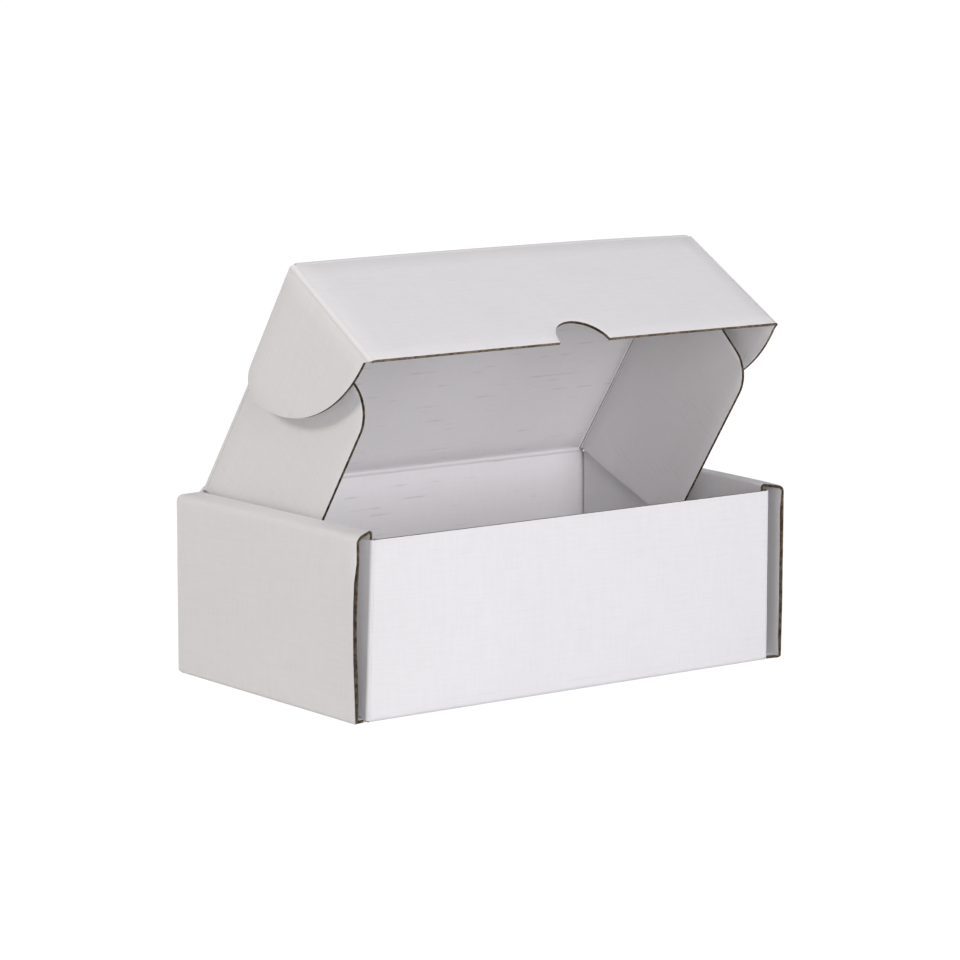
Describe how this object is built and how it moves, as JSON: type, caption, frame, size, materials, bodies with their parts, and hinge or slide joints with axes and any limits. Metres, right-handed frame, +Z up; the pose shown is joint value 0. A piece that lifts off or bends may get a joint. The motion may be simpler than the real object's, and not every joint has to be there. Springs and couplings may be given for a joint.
{
  "type": "corrugated mailer box",
  "caption": "Folded white corrugated mailer box with rolled side walls, a hinged lid with dust flaps, and a front flap whose ears lock into slots at the corners.",
  "frame": {"origin": "centre of the base's underside", "axes": "+X along the front wall to the right, +Y from the front wall to the back wall, +Z up"},
  "size_m": [0.25, 0.1483, 0.2007],
  "materials": {
    "white_board": "matt white liner, brown cut edges"
  },
  "bodies": {
    "tray": {"tray": "white_board"},
    "lid": {"lid": "white_board"},
    "front_flap": {"front_flap": "white_board"},
    "left_ear": {"left_ear": "white_board"},
    "right_ear": {"right_ear": "white_board"},
    "left_dust_flap": {"left_dust_flap": "white_board"},
    "right_dust_flap": {"right_dust_flap": "white_board"}
  },
  "joints": [
    {"name": "lid_hinge", "type": "hinge", "parent": "tray", "child": "lid", "pos_m": [0, 0.069, 0.08575], "axis": [-1, 0, 0], "range_deg": [-20, 125]},
    {"name": "front_flap_fold", "type": "hinge", "parent": "lid", "child": "front_flap", "pos_m": [0, -0.01302, 0.20074], "axis": [-1, 0, 0], "range_deg": [-3, 86]},
    {"name": "left_ear_fold", "type": "hinge", "parent": "front_flap", "child": "left_ear", "pos_m": [-0.1179, -0.01302, 0.20074], "axis": [0, 0.8526, 0.5225], "range_deg": [-2, 90]},
    {"name": "right_ear_fold", "type": "hinge", "parent": "front_flap", "child": "right_ear", "pos_m": [0.1179, -0.01302, 0.20074], "axis": [0, -0.8526, -0.5225], "range_deg": [-2, 90]},
    {"name": "left_dust_flap_fold", "type": "hinge", "parent": "lid", "child": "left_dust_flap", "pos_m": [-0.11185, 0.06839, 0.08531], "axis": [0, -0.5807, 0.8141], "range_deg": [0, 75]},
    {"name": "right_dust_flap_fold", "type": "hinge", "parent": "lid", "child": "right_dust_flap", "pos_m": [0.11185, 0.06839, 0.08531], "axis": [0, 0.5807, -0.8141], "range_deg": [0, 75]}
  ]
}
